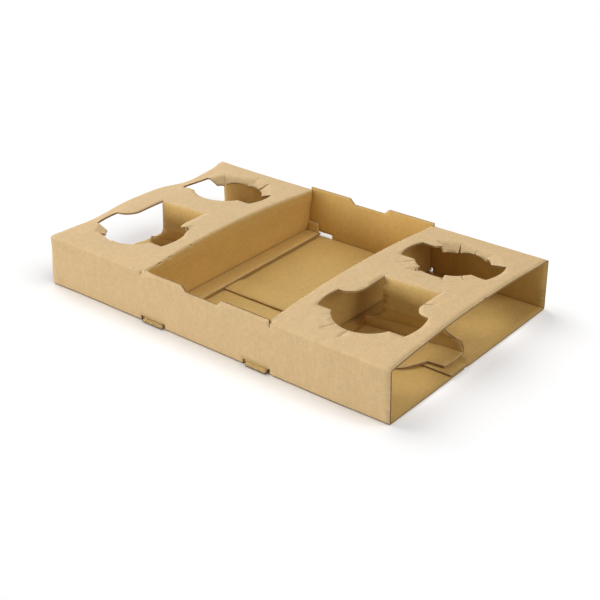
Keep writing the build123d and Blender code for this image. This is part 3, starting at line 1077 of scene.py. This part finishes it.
@dataclass(frozen=True)
class Liner:
    """The brown paper on a face of the board: fibres, flecks and worn rims, with painted shade as faint stripes along
    the flutes, as a deeper brown on shaded parts, and as darker insides of folds.
    """

    name: str
    colour: Triple
    # Deeper brown used as painted shade on shaded parts; for the inner paper it is also the paper's own colour.
    inner_and_shade_brown: Triple
    worn: Triple
    # Dark brown for fibre flecks and frayed tab tips, also used as painted shade inside folds.
    fleck_and_fold_shade: Triple
    grain: float = 0.15
    speckle: float = 0.17
    mottle: float = 0.13
    tint: float = 0.16
    warm: Triple = (0.70, 0.40, 0.17)
    # Faint painted shading in stripes along the flutes, beside their bump.
    rib_shading: float = 0.007
    flecks: float = 0.3
    # Strength of the painted shade inside folds.
    inner_fold_shade: float = 0.9
    roughness: float = 0.62
    gloss: float = 0.4
    grain_depth: float = 0.00006
    rib_depth: float = 0.00002
    faces_apart: Triple = (1.0, 1.0, 60.0)

    def material(self) -> bpy.types.Material:
        """The paper's material, in the flat blank's own coordinates.

        Returns:
            The material.
        """
        w = Wiring(bpy.data.materials.new(self.name))
        blank = w.measured("blank", "Vector")
        place = w.stretched(blank, self.faces_apart)
        grain = w.noise(place, (1.1, 0.75, 1.0), 0.85, 4.0, 0.72)
        speckle = w.noise(place, (1.0, 0.8, 1.0), 0.36, 3.0, 0.65)
        cloud = w.noise(place, EVEN, 0.035, 3.0, 0.6)
        patchy = w.noise(place, (1.0, 0.25, 1.0), 0.16, 3.0, 0.6)
        across = w.node("SeparateXYZ", blank).outputs[0]
        rib = w.sums("SINE", w.sums("MULTIPLY", across, 2 * math.pi / BOARD.flute_pitch))
        light: Value = 1.0
        for change, depth, rest in (
            (grain, self.grain * 2, 1 - self.grain),
            (speckle, self.speckle * 2, 1 - self.speckle),
            (cloud, self.mottle, 1 - self.mottle / 2),
            (patchy, self.mottle, 1 - self.mottle / 2),
            # Painted shading along the flute ribs.
            (rib, self.rib_shading, 1.0),
        ):
            light = w.sums("MULTIPLY", light, w.sums("MULTIPLY_ADD", change, depth, rest))
        # Painted shade: shaded parts and the inner paper take the deeper brown.
        colour = w.shade(w.blend(w.measured("painted_shade_share"), self.colour, self.inner_and_shade_brown), light)
        warm = w.step(w.noise(place, (1.0, 1.3, 1.0), 0.09, 3.0, 0.7), 0.35, 0.65)
        dark = w.step(w.noise(place, (1.3, 0.9, 1.0), 0.55, 2.0, 0.6), 0.66, 0.74)
        pale = w.step(w.noise(place, (0.8, 1.2, 1.7), 0.5, 2.0, 0.6), 0.66, 0.76)
        broken = w.step(w.noise(place, EVEN, 0.45, 3.0, 0.65), 0.3, 0.65)
        torn = w.step(w.noise(place, EVEN, 0.9, 2.0, 0.6), 0.35, 0.6)
        bent = w.measured("fold")
        rim = w.sums("MULTIPLY", w.step(w.measured("rim"), 1.5, 0.1), w.sums("MULTIPLY_ADD", broken, 0.6, 0.1))
        ridge = w.sums("MULTIPLY", w.step(bent, 0.12, 0.9), w.sums("MULTIPLY_ADD", broken, 0.35, 0.12))
        # Painted shade along the inside of each fold.
        inner_fold_shade = w.step(w.sums("MULTIPLY", bent, -1.0), 0.05, 0.35)
        for mark, strength, tone in (
            (warm, self.tint, self.warm),
            (dark, self.flecks * 2, self.fleck_and_fold_shade),
            (pale, self.flecks * 1.6, self.worn),
            (w.sums("MAXIMUM", rim, ridge), 1.0, self.worn),
            (inner_fold_shade, self.inner_fold_shade, self.fleck_and_fold_shade),
            (torn, w.measured("groove"), self.fleck_and_fold_shade),
        ):
            colour = w.blend(w.sums("MULTIPLY", mark, strength), colour, tone)
        roughness = w.sums("MULTIPLY_ADD", grain, 0.2, self.roughness)
        return w.surface(colour, roughness, self.gloss, w.bump(rib, self.rib_depth, w.bump(grain, self.grain_depth)))


@dataclass(frozen=True)
class CutEdge:
    """The board's raw edge: torn paper, with painted shade between the flutes."""

    name: str = "fluted_cut_edge"
    colour: Triple = (0.52, 0.31, 0.12)
    fray: Triple = (0.68, 0.5, 0.29)
    # Near black, as painted shade in the hollows between the flutes.
    flute_gap_shade: Triple = (0.12, 0.055, 0.014)
    roughness: float = 0.8
    gloss: float = 0.0
    grain_depth: float = 0.0002

    def material(self) -> bpy.types.Material:
        """The edge's material, in the flat blank's own coordinates.

        Returns:
            The material.
        """
        w = Wiring(bpy.data.materials.new(self.name))
        grain = w.noise(w.measured("blank", "Vector"), (1.0, 1.0, 2.0), 1.4, 3.0, 0.7)
        colour = w.blend(w.step(grain, 0.4, 0.7), self.colour, self.fray)
        # Painted shade in the flute hollows, deeper where the edge is cut in further.
        colour = w.blend(w.step(w.measured("groove"), 0.15, 0.75), colour, self.flute_gap_shade)
        roughness = w.sums("MULTIPLY_ADD", grain, 0.15, self.roughness)
        return w.surface(colour, roughness, self.gloss, w.bump(grain, self.grain_depth))


def unit(vectors: Array) -> Array:
    """Vectors brought to a length of 1."""
    return vectors / np.maximum(np.linalg.norm(vectors, axis=1), 1e-9)[:, None]


def sides(face: Array) -> Array:
    """The three sides of each triangle, in their own direction."""
    return np.vstack([face[:, [0, 1]], face[:, [1, 2]], face[:, [2, 0]]])


def added(name: str, data: bpy.types.ID, place: Matrix) -> bpy.types.Object:
    """Add an object to the scene at a place."""
    made = bpy.data.objects.new(name, data)
    made.matrix_world = place
    bpy.context.scene.collection.objects.link(made)
    return made


@dataclass
class BoardMesh:
    """Patches welded along their folds, thickened into board with fluted cut edges."""

    patches: list[Patch]
    settle: Callable[[Array], Array]
    room: tuple[Triple, Triple] = ((-182, -113, 0), (182, 113, 51))
    torn_y: Point = (110.6, 111.4)
    torn_z: Point = (-8.0, -7.0)
    weld: float = 0.0137
    slope_step: float = 0.02
    paper_depth: float = 0.12
    hollow_share: float = 2.4

    def middle(self) -> tuple[Array, ...]:
        """Weld the patches.

        Returns:
            Places of the middle layer, its outward normals, places in the blank, the share drawn in painted shade,
            and triangles.
        """
        step, parts, start = self.slope_step, [], 0
        for patch in self.patches:
            flat, face = patch.triangles()
            shifts = ((0, 0), (step, 0), (-step, 0), (0, step), (0, -step))
            here, right, left, up, down = (self.settle(patch.place(flat + shift)) for shift in shifts)
            normal = unit(np.cross(up - down, right - left))
            parts.append((here, normal, flat, np.full(len(flat), patch.in_painted_shade), face + start))
            start += len(flat)
            log.info("%s: %d points", patch.name, len(flat))
        place, normal, flat, in_painted_shade, face = (np.concatenate(part) for part in zip(*parts))
        cells = np.floor(place / self.weld).astype(np.int64)
        _, first, back = np.unique(cells, axis=0, return_index=True, return_inverse=True)
        total = np.zeros((len(first), 3))
        np.add.at(total, back.ravel(), normal)
        face = back.ravel()[face]
        face = face[(face != np.roll(face, 1, axis=1)).all(axis=1)]
        return place[first], unit(total), flat[first], in_painted_shade[first], face

    def bends(self, place: Array, normal: Array, face: Array) -> Array:
        """How sharply each point is folded: 1 where the outer paper is on the outside of a fold, -1 inside one."""
        edges = sides(face)
        start, end = np.vstack([edges, edges[:, ::-1]]).T
        way = place[end] - place[start]
        rise = np.einsum("ij,ij->i", way, normal[start]) / np.einsum("ij,ij->i", way, way)
        total, count = np.zeros(len(place)), np.zeros(len(place))
        np.add.at(total, start, rise)
        np.add.at(count, start, 1)
        return np.clip(-total / count * 2 * BOARD.fold_radius, -1, 1)

    def rims(self, place: Array, loops: list[list[int]]) -> Array:
        """How far each point is from the nearest cut edge, in millimetres."""
        rim = [i for loop in loops for i in loop]
        near = kdtree.KDTree(len(rim))
        for index, point in enumerate(rim):
            near.insert(place[point], index)
        near.balance()
        return np.array([near.find(point)[2] for point in place])

    def boundary(self, face: Array) -> list[list[int]]:
        """Closed loops of the edges that only one triangle has.

        Args:
            face: The triangles, all turned the same way.

        Returns:
            The loops, each a list of points in the order of their triangles' edges.
        """
        edges = sides(face)
        _, back, count = np.unique(np.sort(edges, axis=1), axis=0, return_inverse=True, return_counts=True)
        following: dict[int, list[int]] = {}
        for a, b in edges[count[back.ravel()] == 1]:
            following.setdefault(int(a), []).append(int(b))
        loops = []
        while following:
            start = here = next(iter(following))
            loop: list[int] = []
            while here in following and not (loop and here == start):
                loop.append(here)
                there = following[here].pop()
                if not following[here]:
                    del following[here]
                here = there
            loops.append(loop)
        return loops

    def cut_rows(self, here: Array, normal: Array, flat: Array) -> list[tuple[Array, Array, Array]]:
        """Rows of points along one loop of the cut edge, from the outer paper to the inner one.

        Args:
            here: Places of the loop's points on the middle layer.
            normal: Their outward normals.
            flat: Their places in the blank.

        Returns:
            For each row its points, their heights over the middle and how deep they lie in the hollows.
        """
        out = unit(np.cross(np.roll(here, -1, 0) - np.roll(here, 1, 0), normal))
        wave, level = BOARD.wave(flat[:, 0], flat[:, 1]), np.ones(len(here))
        inner, band = BOARD.half - BOARD.liner, BOARD.medium / 2
        rows = []
        for height, deep in (
            (inner * level, 0 * level),
            ((inner + wave + band) / 2, self.hollow_share * (inner - wave - band)),
            (wave + band, self.paper_depth * level),
            (wave - band, self.paper_depth * level),
            ((wave - band - inner) / 2, self.hollow_share * (inner + wave - band)),
            (-inner * level, 0 * level),
        ):
            deep = np.minimum(deep, BOARD.groove_depth)
            rows.append((here + normal * height[:, None] - out * deep[:, None], height, deep))
        return rows

    def build(self, name: str, materials: list[bpy.types.Material]) -> bpy.types.Object:
        """Make the mesh.

        Args:
            name: Name of the piece.
            materials: Materials for the outer paper, the inner paper and the cut edges.

        Returns:
            The new object, in metres.
        """
        place, normal, flat, in_painted_shade, face = self.middle()
        a, b, c = (place[face[:, i]] for i in range(3))
        if np.einsum("ij,ij->i", np.cross(b - a, c - a), normal[face[:, 0]]).sum() < 0:
            face = face[:, ::-1]
        count, half = len(place), BOARD.half
        loops, bend = self.boundary(face), self.bends(place, normal, face)
        rim = self.rims(place, loops)
        # Tab tips fray only on the parts drawn in painted shade.
        tip = in_painted_shade * smooth(-place[:, 1], *self.torn_y) * smooth(-place[:, 2], *self.torn_z)
        points = [place + normal * half, place - normal * half]
        blank = [np.column_stack([flat, np.full(count, side)]) for side in (1.0, -1.0)]
        marks = {"groove": [tip, tip], "fold": [bend, -bend], "rim": [rim, rim]}
        # Painted shade: the well walls, the prop flaps and all of the inner paper take the deeper brown.
        marks["painted_shade_share"] = [in_painted_shade, np.ones(count)]
        quads, start = [], 2 * count
        for ids in map(np.array, loops):
            size = len(ids)
            for row, height, deep in self.cut_rows(place[ids], normal[ids], flat[ids]):
                points.append(row)
                blank.append(np.column_stack([flat[ids], height / half]))
                # On the cut edge, groove is how deep a point lies in a flute hollow, which its material draws in
                # painted shade.
                values = (deep / BOARD.groove_depth, np.zeros(size), np.zeros(size), in_painted_shade[ids])
                for mark, value in zip(marks.values(), values):
                    mark.append(value)
            rows = np.arange(start, start + CUT_ROWS * size).reshape(CUT_ROWS, size)
            ring = [ids, *rows, ids + count]
            for upper, lower in zip(ring, ring[1:]):
                quads.append(np.column_stack([upper, lower, np.roll(lower, -1), np.roll(upper, -1)]))
            start += CUT_ROWS * size
        triangles, cut = np.vstack([face, face[:, ::-1] + count]), np.vstack(quads)
        made = added(name, self.mesh(name, np.clip(np.vstack(points), *self.room), triangles, cut), Matrix())
        kinds = np.repeat([Face.OUTER.value, Face.INNER.value, Face.CUT.value], [len(face), len(face), len(cut)])
        made.data.polygons.foreach_set("material_index", kinds.astype(np.int32))
        made.data.polygons.foreach_set("use_smooth", kinds != Face.CUT.value)
        attribute = made.data.attributes.new("blank", "FLOAT_VECTOR", "POINT")
        attribute.data.foreach_set("vector", np.vstack(blank).astype(np.float32).ravel())
        for label, values in marks.items():
            attribute = made.data.attributes.new(label, "FLOAT", "POINT")
            attribute.data.foreach_set("value", np.concatenate(values).astype(np.float32))
        for material in materials:
            made.data.materials.append(material)
        made.data.validate()
        log.info("%s: %d triangles", name, len(triangles) + 2 * len(cut))
        return made

    def mesh(self, name: str, points: Array, triangles: Array, quads: Array) -> bpy.types.Mesh:
        """A mesh in metres from points in millimetres.

        Args:
            name: Name of the mesh.
            points: All the points.
            triangles: The faces of the paper.
            quads: The faces of the cut edges.

        Returns:
            The mesh, its triangles first.
        """
        mesh = bpy.data.meshes.new(name)
        mesh.vertices.add(len(points))
        mesh.vertices.foreach_set("co", (points * MM).astype(np.float32).ravel())
        corners = np.concatenate([triangles.ravel(), quads.ravel()])
        mesh.loops.add(len(corners))
        mesh.loops.foreach_set("vertex_index", corners.astype(np.int32))
        starts = np.concatenate([np.arange(len(triangles)) * 3, triangles.size + np.arange(len(quads)) * 4])
        mesh.polygons.add(len(starts))
        mesh.polygons.foreach_set("loop_start", starts.astype(np.int32))
        mesh.update(calc_edges=True)
        return mesh


class LitThing(Enum):
    """What a studio lamp lights."""

    CARRIER = "carrier"
    FLOOR = "floor"


@dataclass(frozen=True)
class SoftLamp:
    """A round soft lamp that faces the carrier; angles in degrees, sizes in metres."""

    name: str
    azimuth: float
    elevation: float
    size: float
    watts: float
    lights: LitThing = LitThing.CARRIER
    distance: float = 1.5

    def hang(self, pieces: dict[LitThing, bpy.types.Object]) -> None:
        """Put the lamp up.

        Args:
            pieces: The carrier and the floor, one of which the lamp is kept to.
        """
        data = bpy.data.lights.new(self.name, "AREA")
        data.shape, data.size, data.energy = "DISK", self.size, self.watts
        around, up = math.radians(self.azimuth), math.radians(self.elevation)
        way = Vector((math.cos(around) * math.cos(up), math.sin(around) * math.cos(up), math.sin(up)))
        place = way * self.distance
        turn = place.to_track_quat("Z", "Y").to_matrix().to_4x4()
        lit = bpy.data.collections.new(self.name)
        lit.objects.link(pieces[self.lights])
        added(self.name, data, Matrix.Translation(place) @ turn).light_linking.receiver_collection = lit


@dataclass
class Studio:
    """A white floor, soft lamps, a faint even surround, and the camera of the photograph."""

    camera_place: Triple = (0.57381, -0.66569, 0.46002)
    camera_right: Triple = (0.76792494, 0.64027815, -0.01830776)
    camera_up: Triple = (-0.28696043, 0.36944122, 0.88383646)
    lens: float = 69.05
    sensor_width: float = 36.0
    floor_size: float = 12.0
    floor_z: float = -0.0002
    surround_light: float = 0.13
    floor_gleam: tuple[float, float] = (0.2, 0.5)
    lamps: tuple[SoftLamp, ...] = (
        SoftLamp("overhead_lamp", 200, 80, 1.0, 7.1),
        SoftLamp("front_lamp", 262, 6.5, 0.3, 11.0),
        SoftLamp("left_lamp", 190, 16, 1.4, 26.0, distance=3.0),
        SoftLamp("left_rear_lamp", 140, 40, 2.0, 32.0, distance=3.0),
        SoftLamp("right_lamp", 2, 35, 1.0, 6.6),
        SoftLamp("floor_left_lamp", 176, 55, 2.0, 29.5, LitThing.FLOOR, 2.0),
        SoftLamp("floor_right_lamp", 7, 55, 2.0, 29.5, LitThing.FLOOR, 2.0),
    )

    def camera(self) -> None:
        """Place the camera."""
        data = bpy.data.cameras.new("camera")
        data.lens, data.sensor_width = self.lens, self.sensor_width
        right, up = Vector(self.camera_right), Vector(self.camera_up)
        turn = Matrix((right, up, right.cross(up))).transposed().to_4x4()
        bpy.context.scene.camera = added("camera", data, Matrix.Translation(self.camera_place) @ turn)

    def light(self, carrier: bpy.types.Object) -> None:
        """Put up the surround, the floor and the lamps.

        Args:
            carrier: The carrier, which most of the lamps are kept to.
        """
        world = bpy.data.worlds.new("surround")
        w = Wiring(world)
        sockets = w.nodes["Background"].inputs
        w.put(sockets["Color"], EVEN)
        w.put(sockets["Strength"], self.seen(w, self.surround_light))
        bpy.context.scene.world = world
        pieces = {LitThing.CARRIER: carrier, LitThing.FLOOR: self.floor()}
        for lamp in self.lamps:
            lamp.hang(pieces)

    def floor(self) -> bpy.types.Object:
        """Add the floor, which the camera sees white where no shadow falls."""
        half = self.floor_size / 2
        mesh = bpy.data.meshes.new("floor")
        mesh.from_pydata([(-half, -half, 0), (half, -half, 0), (half, half, 0), (-half, half, 0)], [], [(0, 1, 2, 3)])
        mesh.materials.append(self.paint())
        made = added("floor", mesh, Matrix.Translation((0, 0, self.floor_z)))
        return made

    def seen(self, w: Wiring, least: Value) -> Socket:
        """A number that is 1 where the camera, gloss or glass looks, and less for light that only bounces."""
        ray = w.node("LightPath")
        for look in ("Is Camera Ray", "Is Glossy Ray", "Is Transmission Ray"):
            least = w.sums("MAXIMUM", ray.outputs[look], least)
        return least

    def paint(self) -> bpy.types.Material:
        """The floor's white paint, which gleams away from the carrier.

        Returns:
            The material.
        """
        w = Wiring(bpy.data.materials.new("white_floor"))
        w.nodes.clear()
        dim, matt = (w.node("BsdfDiffuse", (tone,) * 3).outputs[0] for tone in (0.45, 0.95))
        glow = w.node("Emission", EVEN).outputs[0]
        place = w.node("NewGeometry").outputs["Position"]
        away = w.node("VectorMath", place, operation="LENGTH").outputs["Value"]
        share = w.node("MapRange", away, *self.floor_gleam).outputs[0]
        bright = w.node("MixShader", share, matt, glow).outputs[0]
        both = w.node("MixShader", self.seen(w, 0.0), dim, bright).outputs[0]
        w.node("OutputMaterial", both)
        return w.owner


@dataclass(frozen=True)
class Sag:
    """How the top panels and the rear fold have settled at the left end, in millimetres."""

    end_x: float = -182.0
    front_dip: float = 4.8
    rear_dip: float = 7.0
    dip_y: float = 58.0
    dip_width: float = 34.0
    middle_dip: float = 2.2
    middle_width: float = 28.0
    front_reach: float = 15.0
    rear_reach: float = 24.0
    rear_lift: float = 0.7
    corner_lift: float = 1.4
    neck_places: tuple[Point, ...] = ((-125.0, -5.0), (125.0, -5.0))
    neck_skew: float = 0.062
    neck_x: Point = (30.0, 52.0)
    neck_y: Point = (6.0, 24.0)
    neck_z: Point = (2.0, 8.0)
    fold_x: float = -69.0
    fold_creep: float = 2.0
    fold_width: float = 14.0
    fold_z: Point = (24.0, 42.0)
    inner_y: Point = (96.0, 108.0)
    top_z: Point = (36.0, 43.0)
    lift_y: Point = (92.0, 107.0)
    lift_z: Point = (8.0, 43.0)
    lift_width: float = 30.0

    def __call__(self, points: Array) -> Array:
        """Move points down or up with the board.

        Args:
            points: Places in the ideal carrier.

        Returns:
            Their places in the used one.
        """
        x, y, z = points.T
        front, rear = (np.exp(-(((y + side * self.dip_y) / self.dip_width) ** 2)) for side in (1, -1))
        middle = np.exp(-((y / self.middle_width) ** 2))
        dip = self.front_dip * front + self.rear_dip * rear + self.middle_dip * middle
        reach = np.where(y > 0, self.rear_reach, self.front_reach)
        sunk = dip * (1 - smooth(x - self.end_x, 0, reach * 1.25)) * (1 - smooth(np.abs(y), *self.inner_y))
        lift = self.rear_lift + self.corner_lift * np.exp(-(x - self.end_x) / self.lift_width)
        out = points.copy()
        out[:, 2] -= sunk * smooth(z, *self.top_z)
        out[:, 2] += lift * smooth(y, *self.lift_y) * smooth(z, *self.lift_z)
        over = np.exp(-(((x - self.fold_x) / self.fold_width) ** 2)) * smooth(z, *self.fold_z)
        out[:, 0] += self.fold_creep * over * (0.75 + 0.25 * np.abs(y) / self.lift_y[1])
        for neck_x, neck_y in self.neck_places:
            near = (1 - smooth(np.abs(x - neck_x), *self.neck_x)) * (1 - smooth(np.abs(y - neck_y), *self.neck_y))
            out[:, 1] += self.neck_skew * (x - neck_x) * near * smooth(z, *self.neck_z)
        return out


def carrier_patches(sleeve: Sleeve) -> list[Patch]:
    """Every region of the blank, hung on the sleeve.

    Args:
        sleeve: The ring that the rest hangs on.

    Returns:
        The regions.
    """
    nicks = ((-87.6, 7.0, 1.0), (-75.5, 5.5, 1.0), (-52.0, 3.0, 0.9))
    parts = (
        sleeve,
        WallCrest(sleeve, True, left_step=1.4),
        WallCrest(sleeve, False, left_drop=0.2),
        WellPanel(sleeve, -1, 3.0, 17.8, 3.2, popped_rear_tab=True, nicks=nicks),
        WellPanel(sleeve, 1, 1.0),
        PropFlap(sleeve, NEAR_LEFT_HOLE),
        PropFlap(sleeve, NEAR_RIGHT_HOLE, spread=0.13, toe_stretch=1.35, toe_settle=2.6),
    )
    return [part.patch() for part in parts]


def main() -> None:
    """Build the carrier, its finishes, the studio and the camera."""
    logging.basicConfig(level=logging.INFO, format="%(message)s")
    # The first colour is a deeper brown: painted shade on shaded parts, and partly the inner paper's own colour.
    inner_and_shade_brown, worn, fleck_and_fold_shade = (0.665, 0.442, 0.135), (0.76, 0.57, 0.3), (0.30, 0.16, 0.04)
    # The last of these colours is the dark brown of flecks and frayed tab tips, and also painted shade inside folds.
    papers = [
        Liner("kraft_outside", (0.66, 0.465, 0.23), inner_and_shade_brown, worn, fleck_and_fold_shade, gloss=0.6).material(),
        Liner("kraft_inside", inner_and_shade_brown, inner_and_shade_brown, (0.72, 0.5, 0.2), fleck_and_fold_shade, rib_shading=0.008).material(),
        CutEdge().material(),
    ]
    carrier = BoardMesh(carrier_patches(Sleeve()), Sag()).build("carrier_board", papers)
    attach(carrier, "root")
    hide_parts("cup_carrier")
    studio = Studio()
    studio.camera()
    studio.light(carrier)
    bpy.context.scene.view_settings.view_transform = "Standard"


if __name__ == "__main__":
    main()
